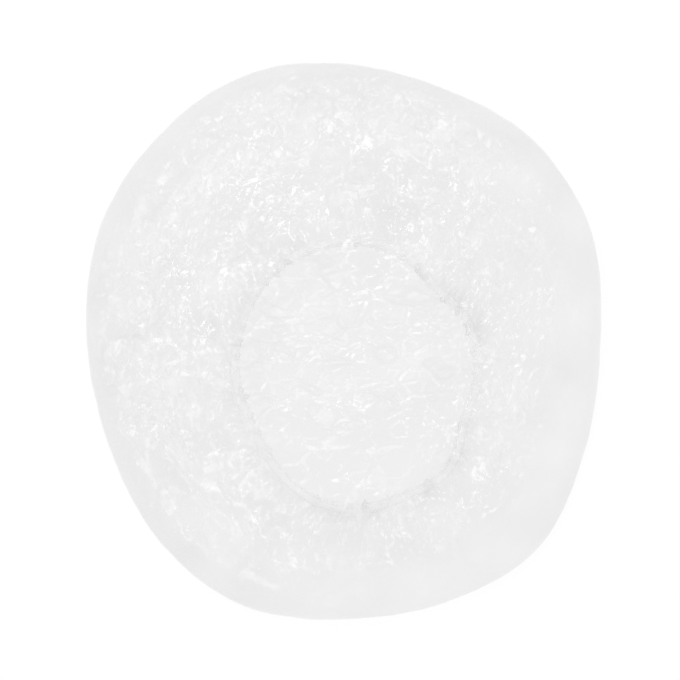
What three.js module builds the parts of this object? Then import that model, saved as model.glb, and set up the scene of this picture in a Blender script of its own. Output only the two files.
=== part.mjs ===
// Disposable shower cap of clear film, lying on its crown with the gathered mouth facing up.
// Millimetres, +Z up, crown on z = 0, origin at the middle of the cap's box on the floor.
import * as THREE from "three";

// Plan of the cap as it lies, and of the elastic's line inside it
const CAP_WIDTH = 257;
const CAP_LENGTH = 278;
const MOUTH_WIDTH = 119;
const MOUTH_LENGTH = 131;
const MOUTH_ASIDE = 6.5;
const MOUTH_BACK = -16;

// How far each plan swells out of its oval, at every sixteenth of a turn anticlockwise from +X
const OUTLINE_SWELL = [-0.5, 5, 4, -1.5, 0, 4.5, 4.5, 4.5, 0.5, -1, 2.5, 4, 0, 2.5, 8, 2];
const MOUTH_SWELL = [-1.8, -2, -6.8, -3.4, -1.7, -0.4, 1, 0.5, -0.5, -4, -3, -0.5, -0.5, -1.6, 1, -4.4];

// Film, drawn thicker than the 0.03 mm of the real one
const FILM_WALL = 0.3;
const PIECE_GAP = 0.3;

// Side view of the cap at rest: rolled rim, then the brim rising to the elastic
const ROLL_HEIGHT = 24;
const ROLL_DEPTH = 22;
const MOUTH_HEIGHT = 30;
const HEM_SLOPE_DEG = 12;

// Gathers: pleats that start at the elastic and die out at the rim
const PLEAT_COUNT = 31;
const PLEAT_RISE_AT_HEM = 1.2;
const PLEAT_RISE_IN_BRIM = 1.8;
const PLEAT_UNEVENNESS = 0.35;
const PLEAT_LOW_PLACES = 5;

// Hem: the film's edge turned in round the elastic and welded to itself
const HEM_WIDTH = 4.5;
const WELD_WIDTH = 1.2;
const WELD_THICKNESS = 0.4;

// Elastic cord, one length whose ends lie side by side inside the hem
const ELASTIC_DIAMETER = 1.2;
const ELASTIC_LAP = 12;
const ELASTIC_LAP_EASE = 18;
const ELASTIC_LAP_PLACE = 0.75;
const ELASTIC_SIDES = 8;
const ELASTIC_STEPS = 76;

// Sizes that follow from those above
const COLUMNS = 2 * PLEAT_COUNT;
const HEM_BORE = ELASTIC_DIAMETER / 2 + PIECE_GAP;
const HEM_CHANNEL = ELASTIC_DIAMETER + PIECE_GAP;
const WELD_SEAT = WELD_THICKNESS / 2 + PIECE_GAP;
const WELD_START = HEM_WIDTH - WELD_WIDTH;

const crownMiddle = new THREE.Vector3(0, 0, 0);
const mouthMiddle = new THREE.Vector3(MOUTH_ASIDE, MOUTH_BACK, 0);
const outline = swollenOval(crownMiddle, CAP_WIDTH, CAP_LENGTH, OUTLINE_SWELL);
const mouth = swollenOval(mouthMiddle, MOUTH_WIDTH, MOUTH_LENGTH, MOUTH_SWELL);

// A smooth closed curve round an oval, swelling out of it or drawn into it from point to point
function swollenOval(centre, width, length, swells) {
  const points = swells.map((swell, k) => {
    const angle = (k / swells.length) * 2 * Math.PI;
    const x = (width / 2 + swell) * Math.cos(angle);
    const y = (length / 2 + swell) * Math.sin(angle);
    return new THREE.Vector3(x, y, 0).add(centre);
  });
  return new THREE.CatmullRomCurve3(points, true, "centripetal");
}

// The curve's point at u, moved sideways: outwards if positive
function offsetPoint(curve, u, sideways) {
  const turn = ((u % 1) + 1) % 1;
  const along = curve.getTangent(turn);
  const outward = new THREE.Vector3(along.y, -along.x, 0).normalize();
  return curve.getPoint(turn).addScaledVector(outward, sideways);
}

// Zigzag of the pleats from -1 to 1, with some pleats lower than others
function pleat(u) {
  const phase = (((u * PLEAT_COUNT) % 1) + 1) % 1;
  const zigzag = 4 * Math.abs(phase - 0.5) - 1;
  const lowering = 0.5 + 0.5 * Math.cos(2 * Math.PI * PLEAT_LOW_PLACES * u);
  return zigzag * (1 - PLEAT_UNEVENNESS * lowering);
}

// A point of the hem: distance along the brim from the elastic's line, and distance above it
function hemPoint(u, along, above) {
  const slope = THREE.MathUtils.degToRad(HEM_SLOPE_DEG);
  const point = offsetPoint(mouth, u, along * Math.cos(slope) + above * Math.sin(slope));
  const lift = above * Math.cos(slope) - along * Math.sin(slope);
  const gather = pleat(u) * PLEAT_RISE_AT_HEM * Math.max(along, 0) / HEM_WIDTH;
  return point.setZ(MOUTH_HEIGHT + lift + gather);
}

// One ring of points, column by column round the mouth
function ring(pointAt) {
  return Array.from({ length: COLUMNS }, (_, i) => pointAt(i / COLUMNS));
}

// Two triangles between each pair of columns of two neighbouring rings
function bandFaces(first, second, runsBack) {
  const faces = [];
  for (let i = 0; i < COLUMNS; i += 1) {
    const next = (i + 1) % COLUMNS;
    if (runsBack) {
      faces.push(first + i, first + next, second + i);
      faces.push(first + next, second + next, second + i);
    } else {
      faces.push(first + i, first + next, second + next);
      faces.push(first + i, second + next, second + i);
    }
  }
  return faces;
}

// Faces from each ring to the next: the second half runs back, its diagonals under the first half's
function skinFaces(ringCount, bandCount) {
  const faces = [];
  for (let k = 0; k < bandCount; k += 1) {
    const after = (k + 1) % ringCount;
    faces.push(...bandFaces(k * COLUMNS, after * COLUMNS, k >= ringCount / 2));
  }
  return faces;
}

function geometryFrom(points, faces) {
  const geometry = new THREE.BufferGeometry().setFromPoints(points);
  geometry.setIndex(faces);
  geometry.computeVertexNormals();
  return geometry;
}

// A section swept once round the mouth, its corners given anticlockwise as [along, above]
function sweptHem(section) {
  const rings = section.map(([along, above]) => ring((u) => hemPoint(u, along, above)));
  return geometryFrom(rings.flat(), skinFaces(rings.length, rings.length));
}

// Outer skin of the film from the crown over the rolled rim to the hem, as rings
function filmRings() {
  const rollAngles = [-90, -55, -20, 15, 52, 90];
  const roll = rollAngles.map((degrees) => {
    const angle = THREE.MathUtils.degToRad(degrees);
    const inset = ROLL_DEPTH * (1 - Math.cos(angle));
    const height = (ROLL_HEIGHT / 2) * (1 + Math.sin(angle));
    return ring((u) => offsetPoint(outline, u, -inset).setZ(height));
  });
  const brimSteps = [0.25, 0.5, 0.75, 1];
  const brim = brimSteps.map((step) => ring((u) => {
    const rollTop = offsetPoint(outline, u, -ROLL_DEPTH).setZ(ROLL_HEIGHT);
    const edge = hemPoint(u, HEM_WIDTH + PIECE_GAP, WELD_SEAT + FILM_WALL);
    const point = rollTop.lerp(edge, step);
    const gather = pleat(u) * PLEAT_RISE_IN_BRIM * Math.sin(Math.PI * step);
    return point.setZ(point.z + gather);
  }));
  return [...roll, ...brim];
}

// The same rings moved inwards by the film's wall
function innerRings(outer) {
  return outer.map((row, k) => row.map((point, i) => {
    const before = k > 0 ? outer[k - 1][i] : crownMiddle;
    const after = k + 1 < outer.length ? outer[k + 1][i] : point;
    const meridian = new THREE.Vector3().subVectors(after, before);
    const left = row[(i + COLUMNS - 1) % COLUMNS];
    const right = row[(i + 1) % COLUMNS];
    const round = new THREE.Vector3().subVectors(right, left);
    const inward = meridian.cross(round).normalize();
    if (k === 0) inward.set(0, 0, 1);
    return point.clone().addScaledVector(inward, FILM_WALL);
  }));
}

// Film sheet: crown, rolled rim and gathered brim, open at the mouth
function filmSheet() {
  const outer = filmRings();
  const inner = innerRings(outer).reverse();
  const rings = [...outer, ...inner];
  const points = rings.flat();
  const faces = skinFaces(rings.length, rings.length - 1);
  const underMiddle = points.push(crownMiddle.clone()) - 1;
  const overMiddle = points.push(crownMiddle.clone().setZ(FILM_WALL)) - 1;
  const lastRing = (rings.length - 1) * COLUMNS;
  for (let i = 0; i < COLUMNS; i += 1) {
    const next = (i + 1) % COLUMNS;
    faces.push(underMiddle, next, i);
    faces.push(overMiddle, lastRing + i, lastRing + next);
  }
  return geometryFrom(points, faces);
}

// Half of the hem's section from its open end to the nose, at a distance from the bore
function hemHalf(wall, side) {
  const half = HEM_BORE + wall;
  const corner = half * Math.tan(Math.PI / 8);
  return [
    [HEM_WIDTH, side * (WELD_SEAT + wall)],
    [WELD_START - PIECE_GAP, side * (WELD_SEAT + wall)],
    [HEM_CHANNEL, side * half],
    [-corner, side * half],
    [-half, side * corner],
  ];
}

// Hem casing: film folded round the elastic's channel, open between its two edges
function hemCasing() {
  const outside = [...hemHalf(FILM_WALL, 1), ...hemHalf(FILM_WALL, -1).reverse()];
  const inside = [...hemHalf(0, -1), ...hemHalf(0, 1).reverse()];
  return sweptHem([...outside, ...inside]);
}

// Weld seam: the strip that closes the casing behind the elastic
function hemWeld() {
  const half = WELD_THICKNESS / 2;
  return sweptHem([
    [WELD_START, half],
    [WELD_START, -half],
    [HEM_WIDTH, -half],
    [HEM_WIDTH, half],
  ]);
}

// Elastic cord: once round the nose of the hem, its tail stepping aside past its start
function elasticCord() {
  const turn = mouth.getLength();
  const length = turn + ELASTIC_LAP;
  const points = Array.from({ length: ELASTIC_STEPS + 1 }, (_, k) => {
    const run = (length * k) / ELASTIC_STEPS;
    const u = ELASTIC_LAP_PLACE + run / turn;
    const easeStart = turn - ELASTIC_LAP_EASE;
    const aside = HEM_CHANNEL * THREE.MathUtils.smoothstep(run, easeStart, turn);
    return hemPoint(u, aside, 0);
  });
  const section = new THREE.Shape();
  section.absarc(0, 0, ELASTIC_DIAMETER / 2, 0, 2 * Math.PI);
  return new THREE.ExtrudeGeometry(section, {
    steps: ELASTIC_STEPS,
    curveSegments: ELASTIC_SIDES / 2,
    bevelEnabled: false,
    extrudePath: new THREE.CatmullRomCurve3(points),
  });
}

function piece(name, geometry, look) {
  const mesh = new THREE.Mesh(geometry, new THREE.MeshStandardMaterial(look));
  mesh.name = name;
  return mesh;
}

const CLEAR_FILM = { color: 0xf3f5f6, roughness: 0.15, metalness: 0, transparent: true, opacity: 0.35 };
const WELDED_FILM = { color: 0xe9eced, roughness: 0.3, metalness: 0, transparent: true, opacity: 0.6 };
const PALE_RUBBER = { color: 0xe4e2dc, roughness: 0.6, metalness: 0 };

const cap = new THREE.Group();
cap.add(piece("film_sheet", filmSheet(), { ...CLEAR_FILM, side: THREE.DoubleSide }));
cap.add(piece("hem_casing", hemCasing(), { ...CLEAR_FILM, side: THREE.DoubleSide }));
cap.add(piece("hem_weld", hemWeld(), WELDED_FILM));
cap.add(piece("elastic_cord", elasticCord(), PALE_RUBBER));

// The box's middle becomes the origin
const middle = new THREE.Box3().setFromObject(cap).getCenter(new THREE.Vector3());
cap.position.set(-middle.x, -middle.y, 0);

export default cap;
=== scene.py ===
"""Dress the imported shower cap: crumpled film, gathered hem, elastic, floor, light and camera."""

import itertools
import logging
import math
from dataclasses import dataclass
from enum import Enum

import bpy
import numpy as np
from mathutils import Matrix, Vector


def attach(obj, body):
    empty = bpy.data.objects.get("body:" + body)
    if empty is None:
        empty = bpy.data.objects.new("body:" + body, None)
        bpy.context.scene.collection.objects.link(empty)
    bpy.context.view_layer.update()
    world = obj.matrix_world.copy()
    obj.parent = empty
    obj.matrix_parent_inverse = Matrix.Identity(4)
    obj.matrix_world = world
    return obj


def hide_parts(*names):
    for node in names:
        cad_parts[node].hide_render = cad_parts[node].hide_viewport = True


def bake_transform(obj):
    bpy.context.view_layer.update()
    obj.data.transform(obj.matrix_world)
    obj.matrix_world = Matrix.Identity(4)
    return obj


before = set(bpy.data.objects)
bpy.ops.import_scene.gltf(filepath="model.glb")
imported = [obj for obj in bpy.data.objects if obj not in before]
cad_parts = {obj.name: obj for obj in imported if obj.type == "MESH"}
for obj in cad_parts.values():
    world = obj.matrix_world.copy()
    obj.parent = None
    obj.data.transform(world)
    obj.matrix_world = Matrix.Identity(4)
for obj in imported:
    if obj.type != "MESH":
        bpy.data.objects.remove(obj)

LOG = logging.getLogger("shower_cap")
MM = 0.001
TURN = 2.0 * math.pi
UNIT = (0.0, 1.0)

Span = tuple[float, float]
Triples = tuple[tuple[float, float, float], ...]
Socket = bpy.types.NodeSocket
Value = Socket | float


class Body(str, Enum):
    """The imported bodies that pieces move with."""

    CROWN = "crown"
    MOUTH = "mouth"


class Node(str, Enum):
    """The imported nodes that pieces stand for."""

    FILM = "film_sheet"
    HEM = "hem_casing"
    WELD = "hem_weld"
    ELASTIC = "elastic_cord"


class Slot(str, Enum):
    """The record's material slots."""

    FILM = "film"
    WELD = "weld"
    ELASTIC = "elastic"


def smooth_step(x: np.ndarray, low: float, high: float) -> np.ndarray:
    """Ease from 0 at low to 1 at high."""
    t = np.clip((x - low) / (high - low), 0.0, 1.0)
    return t * t * (3.0 - 2.0 * t)


def bell(x: np.ndarray, middle: float, reach: float) -> np.ndarray:
    """A smooth hump that is 1 at middle and falls to about a third over reach."""
    return np.exp(-(((x - middle) / reach) ** 2))


def degrees_off(angle: np.ndarray, place_deg: float) -> np.ndarray:
    """Degrees, from -180 to 180, between one place and angles in radians."""
    return (np.degrees(angle) - place_deg + 180.0) % 360.0 - 180.0


def turn_bell(angle: np.ndarray, middle_deg: float, reach_deg: float) -> np.ndarray:
    """A hump over a stretch of a full turn, for angles in radians."""
    return bell(degrees_off(angle, middle_deg), 0.0, reach_deg)


def turn_bells(angle: np.ndarray, places: Triples) -> np.ndarray:
    """A sum of humps, each with its middle and reach in degrees and its height."""
    return sum(height * turn_bell(angle, middle, reach) for middle, reach, height in places)


def nearest(p: np.ndarray, seed: int, wrap: int) -> np.ndarray:
    """Squared distance to the nearest of one point scattered in each unit cell.

    Args:
        p: Points on a plane or in space, in cells.
        seed: Seed of the scattered points.
        wrap: Number of cells after which the points repeat.

    Returns:
        Squared distances, in cells.
    """
    ways = p.shape[-1]
    scatter = np.random.default_rng(seed).random((wrap,) * ways + (ways,))
    corner = np.floor(p).astype(int)
    best = np.full(p.shape[:-1], np.inf)
    for step in itertools.product((-1, 0, 1), repeat=ways):
        cell = corner + step
        site = cell + scatter[tuple(np.moveaxis(cell % wrap, -1, 0))]
        best = np.minimum(best, ((p - site) ** 2).sum(axis=-1))
    return best


def facets(p: np.ndarray, seed: int, wrap: int) -> np.ndarray:
    """Height of plane facets in cells, one or two to a cell, the same again after wrap cells."""
    return nearest(p, seed, wrap) - nearest(p, seed + 1, wrap)


@dataclass(frozen=True)
class SwollenOval:
    """A closed plan curve: an oval that swells or is drawn in at sixteen places."""

    centre: Span
    width: float
    length: float
    swells_mm: tuple[float, ...]

    def swell(self, angle: np.ndarray) -> np.ndarray:
        """Distance out of the oval at each angle, eased between the listed places.

        Args:
            angle: Angles in radians.

        Returns:
            Distances in metres.
        """
        count = len(self.swells_mm)
        listed = np.array(self.swells_mm) * MM
        place = (angle / TURN) % 1.0 * count
        k = np.floor(place).astype(int)
        t = place - k
        before, here, after, beyond = (listed[(k + step) % count] for step in (-1, 0, 1, 2))
        lead = 0.5 * (after - before)
        trail = 0.5 * (beyond - here)
        return (
            (2 * t**3 - 3 * t**2 + 1) * here
            + (t**3 - 2 * t**2 + t) * lead
            + (-2 * t**3 + 3 * t**2) * after
            + (t**3 - t**2) * trail
        )

    def share(self, flat: np.ndarray, middle: Span) -> np.ndarray:
        """Share of the way from a middle to the edge of a plain oval about it."""
        x, y = flat[:, 0] - middle[0], flat[:, 1] - middle[1]
        return np.hypot(x / self.width, y / self.length) * 2.0

    def point(self, angle: np.ndarray) -> np.ndarray:
        """Points of the curve.

        Args:
            angle: Angles in radians, anticlockwise from +X.

        Returns:
            An array of plan points, in metres.
        """
        swell = self.swell(angle)
        x = self.centre[0] + (self.width / 2 + swell) * np.cos(angle)
        y = self.centre[1] + (self.length / 2 + swell) * np.sin(angle)
        return np.stack([x, y], axis=-1)

    def outward(self, angle: np.ndarray) -> np.ndarray:
        """Level unit vectors square to the curve, pointing out of it.

        Args:
            angle: Angles in radians.

        Returns:
            An array of plan vectors.
        """
        step = 1e-3
        along = self.point(angle + step) - self.point(angle - step)
        along /= np.linalg.norm(along, axis=-1, keepdims=True)
        return np.stack([along[..., 1], -along[..., 0]], axis=-1)


@dataclass(frozen=True)
class Creases:
    """Flat facets with sharp edges, as in film that has been crushed and opened again.

    The height is the difference of two fields, each the squared distance to the nearest of its own
    scattered points, so every facet is plane and its tilt is the vector between two points.
    """

    cell: float
    seed: int
    repeat: int = 64

    def height(self, place: np.ndarray) -> np.ndarray:
        """Height in metres at points in space, tilted by about 0.8 along each way."""
        return self.cell * facets(place / self.cell, self.seed, self.repeat)


@dataclass(frozen=True)
class Gathers:
    """Uneven folds that run out from the elastic, cut into facets along their length."""

    count: int
    run: float
    rise: float
    seed: int
    fade_in: Span
    fade_out: Span

    def height(self, angle: np.ndarray, out: np.ndarray) -> np.ndarray:
        """Height of the folds.

        Args:
            angle: Angles round the mouth in radians.
            out: Distance from the elastic's line along the brim, in metres.

        Returns:
            Heights in metres.
        """
        turns = (angle / TURN) % 1.0 * self.count
        cells = np.stack([turns, out / self.run], axis=-1)
        inner = smooth_step(out, *self.fade_in)
        outer = 1.0 - smooth_step(out, *self.fade_out)
        return self.rise * facets(cells, self.seed, self.count) * inner * outer


@dataclass(frozen=True)
class Billows:
    """Soft random waves of about one length."""

    length: float
    seed: int
    waves: int = 14
    lengths: Span = (0.7, 1.6)

    def height(self, flat: np.ndarray) -> np.ndarray:
        """Height of the waves.

        Args:
            flat: Points on the flat film, in metres.

        Returns:
            Heights from about -1 to 1.
        """
        rng = np.random.default_rng(self.seed)
        total = np.zeros(flat.shape[:-1])
        for _ in range(self.waves):
            heading = rng.uniform(0.0, TURN)
            number = TURN / (self.length * rng.uniform(*self.lengths))
            phase = rng.uniform(0.0, TURN)
            run = flat[..., 0] * math.cos(heading) + flat[..., 1] * math.sin(heading)
            total += np.sin(run * number + phase)
        return total / math.sqrt(self.waves)


def mesh_piece(
    name: str, points: np.ndarray, faces: list[list[int]] | np.ndarray
) -> bpy.types.Object:
    """Make a smooth-shaded mesh object in the scene.

    Args:
        name: Name of the piece.
        points: Vertices, in metres.
        faces: Vertex numbers of each face.

    Returns:
        The new object.
    """
    mesh = bpy.data.meshes.new(name)
    mesh.from_pydata(points.tolist(), [], [tuple(map(int, face)) for face in faces])
    mesh.update()
    mesh.shade_smooth()
    piece = bpy.data.objects.new(name, mesh)
    bpy.context.scene.collection.objects.link(piece)
    return piece


def lay_pattern(
    mesh: bpy.types.Mesh,
    name: str,
    places: np.ndarray,
    others: np.ndarray | None = None,
    split: int = 0,
) -> None:
    """Store plane points as a UV map.

    Args:
        mesh: Mesh that takes the map.
        name: Name of the map.
        places: One plane point for each vertex, in metres.
        others: Points that take their place from one corner on, so that the map has a seam there.
        split: Number of the corner at which the others start.
    """
    pattern = mesh.uv_layers.new(name=name)
    corners = np.empty(len(mesh.loops), dtype=int)
    mesh.loops.foreach_get("vertex_index", corners)
    laid = places[corners]
    if others is not None:
        laid[split:] = others[corners[split:]]
    pattern.uv.foreach_set("vector", laid.ravel())


def note_values(mesh: bpy.types.Mesh, name: str, values: np.ndarray) -> None:
    """Store one number for each vertex under a name."""
    noted = mesh.attributes.new(name, "FLOAT", "POINT")
    noted.data.foreach_set("value", np.ascontiguousarray(values, dtype=float))


def raise_points(mesh: bpy.types.Mesh, base: np.ndarray, rise: np.ndarray) -> np.ndarray:
    """Points moved square to the mesh.

    Args:
        mesh: The smooth mesh.
        base: Its points.
        rise: Distance for each point, in metres.

    Returns:
        The moved points.
    """
    normals = np.empty(len(base) * 3)
    mesh.vertex_normals.foreach_get("vector", normals)
    return base + normals.reshape(-1, 3) * rise[:, None]


def move_points(mesh: bpy.types.Mesh, points: np.ndarray) -> None:
    """Give a mesh new points, one for each vertex, in metres."""
    mesh.vertices.foreach_set("co", points.ravel())
    mesh.update()


def band_faces(rings: np.ndarray) -> np.ndarray:
    """Four-sided faces between neighbouring closed rings of vertices.

    Args:
        rings: Vertex numbers, one row for each ring, column for column.

    Returns:
        Vertex numbers of each face.
    """
    first, second = rings[:-1], rings[1:]
    corners = [first, np.roll(first, -1, axis=1), np.roll(second, -1, axis=1), second]
    return np.stack(corners, axis=-1).reshape(-1, 4)


@dataclass
class CapPlan:
    """Plan and side view that all pieces share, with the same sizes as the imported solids."""

    outline: SwollenOval = SwollenOval(
        (0.47 * MM, -0.11 * MM), 257 * MM, 278 * MM,
        (-0.5, 5, 4, -1.5, 0, 4.5, 4.5, 4.5, 0.5, -1, 2.5, 4, 0, 2.5, 8, 2),
    )
    mouth: SwollenOval = SwollenOval(
        (6.97 * MM, -16.11 * MM), 119 * MM, 131 * MM,
        (-1.8, -2, -6.8, -3.4, -1.7, -0.4, 1, 0.5, -0.5, -4, -3, -0.5, -0.5, -1.6, 1, -4.4),
    )
    roll_height: float = 24 * MM
    roll_depth: float = 22 * MM
    mouth_height: float = 30 * MM
    hem_slope: float = math.radians(12)
    hem_width: float = 4.5 * MM
    film_wall: float = 0.3 * MM
    columns: int = 640
    fine: Gathers = Gathers(118, 8 * MM, 2.7 * MM, 101, (0.3 * MM, 3.5 * MM), (7 * MM, 17 * MM))
    wide: Gathers = Gathers(57, 19 * MM, 3.4 * MM, 103, (2.5 * MM, 9 * MM), (18 * MM, 42 * MM))
    fine_share: float = 0.7
    wide_share: float = 0.65
    fine_places: Triples = ((285, 45, 0.5),)
    strong_places: Triples = ((25, 50, 0.3), (180, 35, 0.25))

    @property
    def hem_end(self) -> float:
        """Distance from the elastic's line to the hem's edge along the brim."""
        return self.hem_width + self.film_wall

    def angles(self) -> np.ndarray:
        """Angles of the columns, anticlockwise from an eighth of a turn before +X."""
        return (np.arange(self.columns) / self.columns - 0.125) * TURN

    def pleats(self, angle: np.ndarray, along: np.ndarray | float) -> np.ndarray:
        """Height of the gathers: fine at the elastic, merging into fewer and wider ones outwards.

        Args:
            angle: Angles of the columns in radians.
            along: Distance from the elastic's line along the brim, in metres.

        Returns:
            Heights in metres.
        """
        angle, out = np.broadcast_arrays(angle, along)
        strong = turn_bells(angle, self.strong_places)
        fine = self.fine_share + turn_bells(angle, self.fine_places) + strong
        wide = self.wide_share + strong
        return self.fine.height(angle, out) * fine + self.wide.height(angle, out) * wide

    def hem_point(
        self, angle: np.ndarray, along: np.ndarray | float, above: np.ndarray | float
    ) -> np.ndarray:
        """Points of the hem, gathers included.

        Args:
            angle: Angles of the columns in radians.
            along: Distance from the elastic's line along the brim, in metres.
            above: Distance above the brim, in metres.

        Returns:
            Points in metres.
        """
        angle, along, above = np.broadcast_arrays(angle, along, above)
        run = along * math.cos(self.hem_slope) + above * math.sin(self.hem_slope)
        lift = above * math.cos(self.hem_slope) - along * math.sin(self.hem_slope)
        plan = self.mouth.point(angle) + self.mouth.outward(angle) * run[..., None]
        z = self.mouth_height + lift + self.pleats(angle, np.maximum(along, 0.0))
        return np.concatenate([plan, z[..., None]], axis=-1)


@dataclass(frozen=True)
class FilmFinish:
    """Clear film: a grey veil over what lies behind it, with glints on its facets."""

    name: str = "clear_film"
    gloss: Span = (0.19, 0.6)
    bend: float = 1.7
    mirror: float = 1.0
    crease_scale: float = 86.0
    edge_on: float = 0.0
    facing: float = 0.5
    steepness: float = 2.0

    def material(self, creases: bpy.types.NodeTree) -> bpy.types.Material:
        """Build the film's material.

        Args:
            creases: Node group that gives the fine creases.

        Returns:
            The material.
        """
        maker, shader, material = new_material(self.name)
        material.surface_render_method = "BLENDED"
        shader.inputs["IOR"].default_value = self.bend
        shader.inputs["Specular IOR Level"].default_value = self.mirror
        roughness = maker.spread(maker.noted(FilmSheet.HAZE), UNIT, self.gloss)
        maker.creased(shader, creases, self.crease_scale, roughness, maker.noted(FilmSheet.CRUSHED))
        maker.links.new(maker.noted(FilmSheet.TONE), shader.inputs["Base Color"])
        weight = maker.nodes.new("ShaderNodeLayerWeight")
        weight.inputs["Blend"].default_value = self.facing
        steep = maker.math("POWER", weight.outputs["Facing"], self.steepness)
        thicker = maker.plus(maker.times(steep, self.edge_on), 1.0)
        cover = maker.times(maker.noted(FilmSheet.COVER), thicker)
        maker.links.new(cover, shader.inputs["Alpha"])
        return material


@dataclass(frozen=True)
class WeldFinish:
    """Two layers of film melted into one hazy strip."""

    name: str = "welded_film"
    veil: Span = (0.55, 0.85)
    cloud: float = 900.0
    cloud_detail: float = 2.0
    cloud_span: Span = (0.3, 0.7)
    cover: float = 0.012
    roughness: float = 0.3
    crease_scale: float = 500.0
    crushed: float = 1.0

    def material(self, creases: bpy.types.NodeTree) -> bpy.types.Material:
        """Build the weld's material.

        Args:
            creases: Node group that gives the fine creases.

        Returns:
            The material.
        """
        maker, shader, material = new_material(self.name)
        material.surface_render_method = "BLENDED"
        shader.inputs["Alpha"].default_value = self.cover
        place = maker.nodes.new("ShaderNodeTexCoord")
        clouds = maker.noise(place.outputs["Object"], self.cloud, self.cloud_detail)
        veil = maker.spread(clouds, self.cloud_span, self.veil)
        maker.links.new(veil, shader.inputs["Base Color"])
        maker.creased(shader, creases, self.crease_scale, self.roughness, self.crushed)
        return material


@dataclass(frozen=True)
class ElasticFinish:
    """Pale rubber cord with a satin skin and faint dust."""

    name: str = "pale_rubber"
    pale: tuple[float, float, float, float] = (0.78, 0.78, 0.77, 1.0)
    dusty: tuple[float, float, float, float] = (0.90, 0.90, 0.89, 1.0)
    dust_span: Span = (0.35, 0.7)
    cover: float = 0.05
    roughness: float = 0.45
    mottle: float = 420.0
    mottle_detail: float = 3.0
    grain: float = 0.08 * MM

    def material(self) -> bpy.types.Material:
        """Build the rubber's material.

        Returns:
            The material.
        """
        maker, shader, material = new_material(self.name)
        shader.inputs["Roughness"].default_value = self.roughness
        shader.inputs["Alpha"].default_value = self.cover
        place = maker.nodes.new("ShaderNodeTexCoord")
        mottle = maker.noise(place.outputs["Object"], self.mottle, self.mottle_detail, "3D")
        tone = maker.nodes.new("ShaderNodeValToRGB")
        stops = zip(tone.color_ramp.elements, self.dust_span, (self.pale, self.dusty))
        for stop, position, colour in stops:
            stop.position = position
            stop.color = colour
        maker.links.new(mottle, tone.inputs["Fac"])
        maker.links.new(tone.outputs["Color"], shader.inputs["Base Color"])
        maker.bumped(shader, mottle, self.grain)
        return material


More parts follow.
